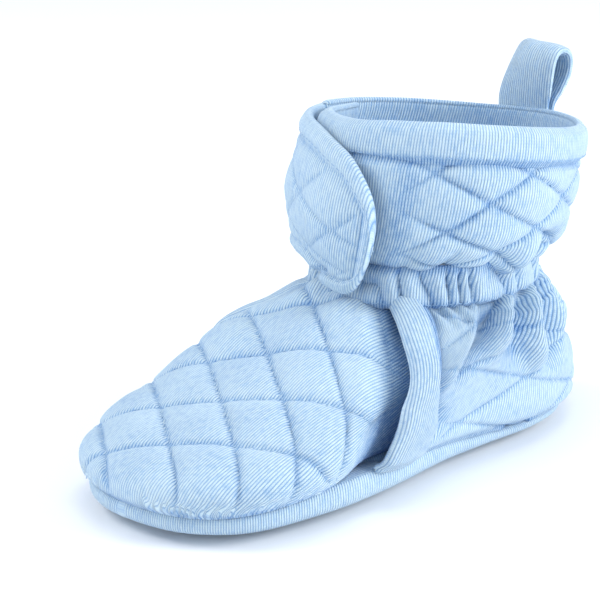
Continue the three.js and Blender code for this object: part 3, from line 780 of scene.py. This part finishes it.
# The quarter's folded front edge: a flat padded tape that stands proud of the vamp
def makeBinding(name, side, cadName):
    ww, vv = gridOf(26, 110)
    deg = quarterEdge(vv) + ww * spline(binding["width"], vv)[..., 0]
    t = np.radians(deg) * side
    p = foot(t, vv)
    n = normals(p) * side
    dome = np.clip(1 - np.abs(2 * ww - 0.9) ** 3, 0, 1)
    top = binding["base"] + binding["dome"] * dome + 0.25 * waver(vv * 45, ww * 6, 4, 6)
    top = top - between(ww, 0.8, 1.0) - (0 if side > 0 else binding["farDrop"] * between(vv, 0.5, 0.8))
    top = top + binding["lowFullness"] * (1 - between(vv, 0.0, 0.6))
    top = top - 1.6 * np.exp(-((vv * 45 / 1.5) ** 2)) - 0.8 * between(vv, 0.9, 1)
    outer = p + n * top[..., None]
    inner = p + n * (top - binding["thick"])[..., None]
    across = np.linalg.norm(p[-1] - p[0], axis=-1)[None]
    uv = np.stack([ww * across, vv * 44], -1)
    # painted shade in the groove where the binding meets the quarter
    paintedShade = 1.2 * np.exp(-(((1 - ww) / 0.12) ** 2))
    order = slice(None) if side > 0 else slice(None, None, -1)
    keys = {"rim": 4, "ends": 5, "paintedShade": paintedShade[order], "replaces": [cadName]}
    cloth(name, outer[order], inner[order], uv[order], trimJersey, "shoe", **keys)
    seam = slice(4, -6)
    line = outer[-3, seam] - n[-3, seam] * 0.05
    stitches(name + "_topstitch", [chain(line, n[-3, seam])], "shoe", pitch=1.7, length=1.3, zigzag=0.0)


makeBinding("quarter_binding_right", 1, "quarter_edge_right")
makeBinding("quarter_binding_left", -1, "quarter_edge_left")
print("bindings made")

# The ankle: an elastic band in a ruffled casing
ankle = {
    "low": 0.0,  # its edges, as shares of the collar's run
    "high": 0.275, "ruffles": 31, "depth": 2.0, "inset": 1.2, "swell": 0.9,
    "overlap": 1.5,  # how far its lower edge hangs over the quarter
    "flare": 0.9,
}


def makeAnkle():
    aa, vv = gridOf(360, 26, ankle["low"], ankle["high"], ring=True)
    turn = aa * 2 * math.pi
    p = collar(turn, vv)
    n = normals(p, ring=True)
    arc = turn * 23
    k = (vv - ankle["low"]) / (ankle["high"] - ankle["low"])
    phase = aa * ankle["ruffles"] + 0.5 * np.sin(turn * 5 + 1) + 0.3 * np.sin(turn * 11) + 0.55 * k
    ruffle = np.abs(np.sin(math.pi * phase)) ** 0.7
    swell = np.sin(math.pi * np.clip(k, 0, 1)) ** 0.6
    flare = 1 - between(k, 0, 0.45)  # the lower edge spreads over the quarter
    p[..., 2] -= ankle["overlap"] * flare
    lift = -ankle["inset"] + ankle["swell"] * swell + 0.2 * waver(arc, k * 6, 3, 7) + ankle["flare"] * flare
    lift = lift + ankle["depth"] * (ruffle - 0.6) * (0.35 + 0.65 * swell)
    lap = np.linspace(0, 2 * math.pi, 361)[:, None]
    uv = np.stack(np.broadcast_arrays(lap * 23, k[0][None, :] * 7), -1)
    # painted shade in the valleys of the ruffles and along both seams
    paintedShade = (1 - ruffle) ** 2 * 0.9 + 0.8 * np.exp(-((k / 0.12) ** 2)) + 0.8 * np.exp(-(((1 - k) / 0.15) ** 2))
    under = np.minimum(-2.4, lift - 1.0)
    layers = [
        ("ankle_casing", lift, under, trimJersey, "quilted_jersey", "ankle_casing_outer"),
        ("ankle_elastic_band", -2.5, -3.3, elasticWeb, "elastic_webbing", "ankle_elastic"),
        ("ankle_lining", -3.4 + 0.4 * ruffle, -4.6, liningJersey, "lining_jersey", "ankle_casing_inner"),
    ]
    for name, high, low, material, slotName, cadName in layers:
        outer, inner = (p + n * (depth + 0 * lift)[..., None] for depth in (high, low))
        paintedShades = paintedShade if name == "ankle_casing" else None
        keys = {"ring": True, "rim": 3, "paintedShade": paintedShades, "slotName": slotName, "replaces": [cadName]}
        cloth(name, outer, inner, uv, material, "shoe", **keys)
    seam = chain((p + n * lift[..., None])[:, 1], n[:, 1], True)
    stitches("ankle_topstitch", [seam], "shoe", pitch=1.9, length=1.4, zigzag=0.0)


makeAnkle()
print("ankle made")

# The cuff: a puffy quilted band with a fat hem, which runs round from the near end to the flap's root
cuff = {
    "puff": 1.2, "crease": 0.35, "slopeA": 0.38, "slopeB": 0.62, "pitchA": 8.0, "pitchB": 12.2,
    "startA": 2.5, "startB": -3.2, "hem": 5.2, "nearEnd": -70.0, "farEnd": 294.0, "wingStart": 218.0,
    "wingRise": 5.0,
    "nearRise": 2.0,  # and the near end leans out against the flap
    "rimNear": 1.7,  # the rim stands this much higher on the closing side
    "rimFar": 0.6,
    "lobe": 2.1,  # billows at its foot
    "lobePitch": 9.5, "pleat": 3.2, "pleatAt": 106.0, "droop": 1.8, "thick": 2.2, "lining": 1.3,
}
hemFoot = 1 - cuff["hem"] / cuffRun * (1 - cuffFoot)


def cuffSurface(deg, v):
    rise = cuff["wingRise"] * between(deg, cuff["wingStart"], 299.0)
    near = (1 - between(deg, -8, 24)) * between(deg, -62, -38)
    rise = rise + cuff["nearRise"] * near * between(v, 0.7, 0.88)
    p = collar(np.radians(deg), v, rise)
    lift = cuff["rimNear"] * hump(deg, 55, 75) - cuff["rimFar"] * hump(deg, 215, 70)
    p[..., 2] += lift * np.clip((v - cuffFoot) / (1 - cuffFoot), 0, 1) ** 1.5
    droop = 1.5 * (1 - between(deg, 8, 40))
    droop = droop - cuff["droop"] * between(deg, 62, 95) * (1 - between(deg, 200, 260))
    p[..., 2] += droop * (1 - between(v, cuffFoot, cuffFoot + 0.3))
    return p


def makeCuff():
    aa, vv = gridOf(330, 66, cuffFoot + 0.015, hemFoot)
    deg = cuff["nearEnd"] + (cuff["farEnd"] - cuff["nearEnd"]) * aa
    p = cuffSurface(deg, vv)
    n = normals(p)
    s = np.radians(deg) * collarRadius
    h = (vv - cuffFoot) / (1 - cuffFoot) * cuffRun
    puff, paintedShadeMask = quiltPuff(s, h, cuff)
    free = between(deg, 20, 45)  # the part that the flap doesn't cover
    phase = s / cuff["lobePitch"] + 0.2 * np.sin(s / 13) + 0.15
    lobes = (np.abs(np.sin(math.pi * phase)) ** 0.7 - 0.62) * cuff["lobe"] * (1 - between(h, 1.5, 10))
    crease = hump(deg, cuff["pleatAt"], 11)
    low = 1 - between(h, 4, 12)
    pleat = cuff["pleat"] * (0.5 * hump(deg, cuff["pleatAt"] - 15, 9) - crease) * low
    belowHem = cuffRun - cuff["hem"] - h
    sewnTop = -0.9 * np.exp(-(belowHem**2))
    under = -1.2 * np.exp(-((h / 1.4) ** 2))
    swell = 0.9 * hump(h, 7, 8)
    base = -0.3 - 1.2 * between(deg, 15, 50)
    billow = (puff * between(h, 0, 3) + lobes + pleat + 0.4 * waver(s, h, 8, 8) + swell) * free
    lift = base + billow + sewnTop + under
    outer = p + n * lift[..., None]
    inner = p + n * (np.minimum(lift, -1.0) - cuff["thick"])[..., None]
    uv = np.stack([s, h], -1)
    # painted shade: along the sewn lines, under the hem, at the foot and in the pleat, and a painted shadow of
    # the flap's edge beside it
    paintedShade = paintedShadeMask * free + 0.8 * np.exp(-((belowHem / 0.8) ** 2)) + 0.6 * np.exp(-((h / 1.2) ** 2))
    paintedShade = paintedShade + 0.8 * crease * low + 0.5 * hump(deg, 27, 9)
    piece = cloth("cuff", outer, inner, uv, quiltedJersey, "shoe", paintedShade=paintedShade, replaces=["cuff_outer"])
    back = np.minimum(lift, -1.0) - cuff["thick"] - 0.1
    makeLining("cuff_lining_cloth", p, n, back, back - cuff["lining"], uv, "cuff_lining")
    stitches("cuff_quilting", quiltLines(outer, n, s, h, cuff, (free > 0.3) & (h > 1)), "shoe")


def makeHem():
    aa, vv = gridOf(300, 22, hemFoot + 0.002, 1.0)
    deg = cuff["nearEnd"] + (cuff["farEnd"] - cuff["nearEnd"]) * aa
    p = cuffSurface(deg, vv)
    n = normals(p)
    s = np.radians(deg) * collarRadius
    k = (vv - vv.min()) / (vv.max() - vv.min())
    swell = np.clip(1 - np.abs(2 * k - 1) ** 2.4, 0, 1) ** 0.5
    lift = -1.5 + 0.9 * swell + 0.2 * waver(s, k * 5, 5, 9)
    outer = p + n * lift[..., None]
    inner = p - n * (3.6 + 0.4 * swell + 0.2 * waver(s, k * 5, 6, 10))[..., None]
    uv = np.stack([s, k * cuff["hem"]], -1)
    # painted shade in the seam at the hem's foot
    paintedShade = 0.9 * np.exp(-((k / 0.12) ** 2))
    keys = {"rim": 9, "paintedShade": paintedShade, "replaces": ["cuff_top_hem"]}
    cloth("cuff_hem", outer, inner, uv, quiltedJersey, "shoe", **keys)
    seam = chain(outer[:, 2] + n[:, 2] * 0.05, n[:, 2])
    stitches("hem_topstitch", [seam], "shoe", pitch=2.0, length=1.5, thickness=0.3, zigzag=0.0)


makeCuff()
makeHem()
print("cuff made")

# The flap: a soft tongue that runs on from the far wing, over the front, to a round tip. Its edges are given
# by knots from the root to the tip: degrees round the collar, and the top and bottom as shares of its run
flap = {
    "rise": 4.5, "thick": 2.4,
    "degrees": [-69, -52, -36, -19, -6, 4, 12, 17.5, 20],
    "top": [0.975, 0.97, 0.96, 0.94, 0.895, 0.84, 0.745, 0.63, 0.44],
    "bottom": [0.29, 0.29, 0.29, 0.285, 0.19, 0.115, 0.115, 0.235, 0.44],
    "tip": 20,  # degrees
    "puff": 0.8, "crease": 0.15, "crown": 1.1, "fold": 1.9,
}


def makeFlap():
    aa, bb = gridOf(190, 90)
    aa = aa * (1.85 - 0.85 * aa) * 0.985
    deg, top, bottom = (spline(flap[key], aa)[..., 0] for key in ("degrees", "top", "bottom"))
    vv = bottom + (top - bottom) * bb
    p = collar(np.radians(deg), vv, flap["rise"] + 0 * vv)
    n = normals(p)
    s = np.radians(deg) * (collarRadius + 5)
    h = (vv - cuffFoot) / (1 - cuffFoot) * cuffRun
    edge = np.minimum(np.minimum(bb, 1 - bb) * (top - bottom) * 36, (flap["tip"] - deg) * 0.55)
    puff, paintedShadeMask = quiltPuff(s, h, {**cuff, "puff": flap["puff"], "crease": flap["crease"]})
    roll = 0.55 * np.exp(-(((edge - 1.2) / 1.1) ** 2)) - 0.35 * np.exp(-(((edge - 3.0) / 0.6) ** 2))
    foldLine = h + 2.6 - 0.42 * (s + 6)
    tucked = hump(s, -6, 9)
    valley, lobe = np.exp(-((foldLine / 1.5) ** 2)), np.exp(-(((foldLine + 4.2) / 2.4) ** 2))
    fold = (-flap["fold"] * valley + 0.9 * lobe) * tucked
    crown = flap["crown"] * hump(edge, 14, 12)
    lift = (puff * 0.8 + 0.4 * waver(s, h, 9, 11)) * between(edge, 2.5, 6) + roll + fold + crown - 0.3
    outer = p + n * lift[..., None]
    inner = p - n * flap["thick"]
    slim = (0.36 * between(aa, 0.93, 0.985))[..., None]  # the padding thins out at the tip
    outer, inner = outer + (inner - outer) * slim, inner + (outer - inner) * slim
    uv = np.stack([s, h], -1)
    # painted shade: along the sewn lines, in the fold's valley and in the groove inside the rolled edge
    paintedShade = 0.5 * paintedShadeMask * between(edge, 2.5, 6) + 0.7 * np.exp(-((foldLine / 1.6) ** 2)) * tucked
    paintedShade = paintedShade + 0.5 * np.exp(-(((edge - 3.0) / 0.4) ** 2))
    return outer, inner, uv, n, paintedShade


hinge = next(j for j in frame["joints"] if j["name"] == "flap_hinge")
hingeAt, hingeAxis = Vector(hinge["pos_m"]), Vector(hinge["axis"])
fromMiddle = Vector((hingeAt.x, hingeAt.y - (soleMiddle + 24) * mm, 0))
flapWay = fromMiddle.cross(hingeAxis).normalized()
flapWay = flapWay if flapWay.x > 0 else -flapWay
flapBlend = ("shoe", "flap", hingeAt - flapWay * 1 * mm, hingeAt + flapWay * 5 * mm)
flapOuter, flapInner, flapUv, flapNormal, flapPaintedShade = makeFlap()
keys = {"paintedShade": flapPaintedShade, "replaces": ["flap_outer", "flap_lining"]}
flapPiece = cloth("front_flap", flapOuter, flapInner, flapUv, quiltedJersey, None, **keys)
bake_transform(flapPiece)
ring = [(i, 82) for i in range(20, 140)] + [(140, k) for k in range(82, 8, -1)]
ring += [(i, 8) for i in range(140, 60, -1)]
rows, columns = (np.array(x) for x in zip(*ring))
seam = chain((flapOuter + 0.03 * flapNormal)[rows, columns], flapNormal[rows, columns])
sizes = {"pitch": 1.7, "length": 1.2, "thickness": 0.2, "zigzag": 0.0}
stitches("flap_topstitch", [seam], None, **sizes, blendWith=flapBlend)

# Hook-and-loop tape between the flap and the cuff
closure = {"degrees": (-13.0, 7.0), "run": (0.36, 0.66), "thick": 0.8}


# under and over say how far from the collar its two faces are
def makePatch(name, body, under, over, cadName):
    aa, bb = gridOf(24, 20)
    low, high = closure["degrees"]
    start, end = closure["run"]
    deg, vv = low + (high - low) * aa, start + (end - start) * bb
    p = collar(np.radians(deg), vv, over + 0 * vv)
    q = collar(np.radians(deg), vv, under + 0 * vv)
    uv = np.stack([np.radians(deg) * collarRadius, vv * 36], -1)
    keys = {"rim": 3, "slotName": "closure_tape", "replaces": [cadName]}
    cloth(name, p, q, uv, closurePile, body, **keys)


flapFace = flap["rise"] - flap["thick"]
makePatch("hook_tape", "flap", flapFace - closure["thick"], flapFace + 0.1, "hook_patch")
makePatch("loop_tape", "shoe", -0.4, 0.5, "loop_patch")
print("flap made")

# The pull loop: a folded strip on the rim. Knots round it: how far back, how high, half the cloth's thickness
loop = {
    "width": 13.0,
    "knots": [
        (0.7, -3.5, 0.6), (0.8, 0, 0.7), (1.3, 3, 1.0), (1.8, 6, 1.15), (2.4, 8.8, 1.2), (3.6, 10.9, 1.2),
        (5.4, 11.6, 1.2), (7.3, 10.8, 1.2), (8.1, 8.8, 1.2), (7.4, 5.8, 1.15), (5.2, 2.8, 1.0), (2.9, 0.4, 0.7),
        (1.9, -3.5, 0.6),
    ],
    "taper": 0.3,  # its far corner is pulled in at the top
}


def makeLoop():
    spot = Vector(next(j for j in frame["joints"] if j["name"] == "pull_loop_hinge")["pos_m"])
    base = np.array(spot) / mm + np.array([0, -soleMiddle + 0.1, -1.2])
    path = spline(loop["knots"], np.linspace(0, 1, 90))
    way = unit(np.gradient(path[:, :2], axis=0))
    side = np.stack([-way[:, 1], way[:, 0]], -1)
    across = np.linspace(-0.5, 0.5, 27)
    knitShadeAndToneOrEdgeThinning = 1 - 0.3 * np.abs(across * 2) ** 5
    grids = []
    for sign in (1, -1):
        yz = path[None, :, :2] + sign * side[None] * (path[:, 2][None] * knitShadeAndToneOrEdgeThinning[:, None])[..., None]
        x = across[:, None] * loop["width"] * np.ones(len(path))[None]
        far = np.clip(-across * 2, 0, 1)[:, None] * smooth(yz[..., 1] / 12)
        x = x * (1 - loop["taper"] * far)
        y = yz[..., 0] + 1.6 * far + 0.12 * waver(yz[..., 1], x, 4, 12)
        grids.append(np.stack([base[0] + x, base[1] + y, base[2] + yz[..., 1]], -1))
    outer, inner = grids
    length = np.r_[0, np.cumsum(np.linalg.norm(np.diff(path[:, :2], axis=0), axis=1))]
    uv = np.stack(np.broadcast_arrays(across[:, None] * loop["width"], length[None, :]), -1)
    if (normals(outer)[13, 20] @ (outer - inner)[13, 20]) < 0:
        outer, inner, uv = outer[::-1], inner[::-1], uv[::-1]
    piece = cloth("pull_loop_strap", outer, inner, uv, trimJersey, None, rim=3, replaces=["pull_loop"])
    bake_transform(piece)


makeLoop()
print("loop made")

# Printed grips: raised zigzags of silicone under the ball of the foot
grip = {
    "wave": 3.6,  # height of the zigzag
    "segments": 8, "stroke": 2.5,
    "rise": 1.1,  # height of the stroke's middle above the floor
    "press": 0.6,  # how far above its middle the stroke is cut flat
}


def gripTree():
    floats = dict.fromkeys(("Span", "Wave", "Stroke", "Rise", "Press", "Centre Y"), "Float")
    tree, given = newTree("zigzagGrip", {**floats, "Segments": "Int", "Silicone": "Material"})
    count = node(tree, "ADD", [given["Segments"], 1])
    line = node(tree, "GeometryNodeMeshLine", {"Count": count}, mode="OFFSET")
    index = node(tree, "GeometryNodeInputIndex")
    share = node(tree, "DIVIDE", [index, given["Segments"]])
    share = node(tree, "SUBTRACT", [share, 0.5])
    odd = node(tree, "MODULO", [index, 2.0])
    odd = node(tree, "SUBTRACT", [odd, 0.5])
    x = node(tree, "MULTIPLY", [share, given["Span"]])
    y = node(tree, "MULTIPLY", [odd, given["Wave"]])
    y = node(tree, "ADD", [y, given["Centre Y"]])
    spot = node(tree, "ShaderNodeCombineXYZ", [x, y, given["Rise"]])
    bent = node(tree, "GeometryNodeSetPosition", {"Geometry": line, "Position": spot})
    curve = node(tree, "GeometryNodeMeshToCurve", {"Mesh": bent})
    corner = node(tree, "MULTIPLY", [given["Stroke"], 0.45])
    fillet = {"Curve": curve, "Radius": corner, "Count": 5}
    rounded = node(tree, "GeometryNodeFilletCurve", fillet, mode="POLY")
    radius = node(tree, "MULTIPLY", [given["Stroke"], 0.5])
    ring = node(tree, "GeometryNodeCurvePrimitiveCircle", {"Radius": radius, "Resolution": 14})
    sweep = {"Curve": rounded, "Profile Curve": ring, "Fill Caps": True}
    tube = node(tree, "GeometryNodeCurveToMesh", sweep)
    # the underside is cut off at the floor and the top is pressed into the cloth
    parts = node(tree, "ShaderNodeSeparateXYZ", [node(tree, "GeometryNodeInputPosition")])
    above = node(tree, "MAXIMUM", [parts.outputs[2], 0.0])
    ceiling = node(tree, "ADD", [given["Rise"], given["Press"]])
    pressed = node(tree, "MINIMUM", [above, ceiling])
    back = node(tree, "ShaderNodeCombineXYZ", [parts.outputs[0], parts.outputs[1], pressed])
    flattened = node(tree, "GeometryNodeSetPosition", {"Geometry": tube, "Position": back})
    smoothed = node(tree, "GeometryNodeSetShadeSmooth", [flattened])
    real = node(tree, "GeometryNodeRealizeInstances", [smoothed])
    done = node(tree, "GeometryNodeSetMaterial", {"Geometry": real, "Material": given["Silicone"]})
    node(tree, "NodeGroupOutput", [done])
    return tree


zigzagGrip = gripTree()


def makeGrip(number):
    cadName = f"grip_zigzag_{number}"
    name = f"grip_print_{number}"
    low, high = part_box(cadName)
    piece = newObject(name, bpy.data.meshes.new(name))
    sizes = {key: grip[key.lower()] * mm for key in ("Wave", "Stroke", "Rise", "Press")}
    sizes |= {"Span": high.x - low.x - 0.6 * mm, "Centre Y": (low.y + high.y) / 2}
    bake(piece, zigzagGrip, {**sizes, "Segments": grip["segments"], "Silicone": gripSilicone})
    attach(piece, "shoe")
    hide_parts(cadName)


for number in range(1, 5):
    makeGrip(number)
print("grips made")

# The camera, the light and the floor
shot = {
    "azimuth": 46.0, "elevation": 17.0, "roll": -1.0, "distance": 0.45, "lens": 136.3,
    "aimHeight": 0.035, "shiftX": -0.065, "shiftY": -0.0233,
}


def makeCamera():
    data = bpy.data.cameras.new("camera")
    data.lens = shot["lens"]
    data.sensor_width = 36.0
    data.shift_x, data.shift_y = shot["shiftX"], shot["shiftY"]
    data.clip_start = 0.01
    camera = newObject("camera", data)
    a, e = math.radians(shot["azimuth"]), math.radians(shot["elevation"])
    back = Vector((math.sin(a) * math.cos(e), -math.cos(a) * math.cos(e), math.sin(e)))
    aim = Vector((0, soleMiddle * mm, shot["aimHeight"]))
    look = (-back).to_track_quat("-Z", "Y").to_matrix().to_4x4()
    roll = Matrix.Rotation(math.radians(shot["roll"]), 4, "Z")
    camera.matrix_world = Matrix.Translation(aim + back * shot["distance"]) @ look @ roll
    bpy.context.scene.camera = camera


# Soft boxes: place in metres, size in metres, power in watts
softBoxes = {
    "key_softbox": ((-0.55, -0.45, 0.7), 0.5, 3.8),
    "fill_softbox": ((0.7, 0.5, 0.4), 0.6, 7.4),
    "front_softbox": ((-0.1, -0.9, 0.25), 0.5, 1.5),
    "top_softbox": ((0.0, 0.1, 0.9), 0.6, 2.0),
}


def areaLight(name, place, size, power, colour="#FFFDFA"):
    data = bpy.data.lights.new(name, "AREA")
    data.shape = "DISK"
    data.size = size
    data.energy = power
    data.color = linear(colour)[:3]
    light = newObject(name, data)
    light.location = place
    aim = Vector((0, 0, 0.03)) - Vector(place)
    light.rotation_euler = aim.to_track_quat("-Z", "Y").to_euler()


def makeFloor():
    material, tree = newMaterial("pale_studio_paper")
    shader = node(tree, "ShaderNodeBsdfPrincipled", {"Base Color": linear("#F7F8FA"), "Roughness": 0.9})
    node(tree, "ShaderNodeOutputMaterial", [shader])
    half = 6.0
    mesh = bpy.data.meshes.new("studio_floor")
    corners = [(-half, -half, 0), (half, -half, 0), (half, half, 0), (-half, half, 0)]
    mesh.from_pydata(corners, [], [(0, 1, 2, 3)])
    mesh.materials.append(material)
    newObject("studio_floor", mesh)


def makeWorld():
    world = bpy.data.worlds.new("studio")
    world.use_nodes = True
    background = world.node_tree.nodes["Background"]
    background.inputs[0].default_value = linear("#E6F0FF")
    background.inputs[1].default_value = 0.7
    bpy.context.scene.world = world
    bpy.context.scene.view_settings.view_transform = "Standard"


makeCamera()
for name, (place, size, power) in softBoxes.items():
    areaLight(name, place, size, power)
makeFloor()
makeWorld()
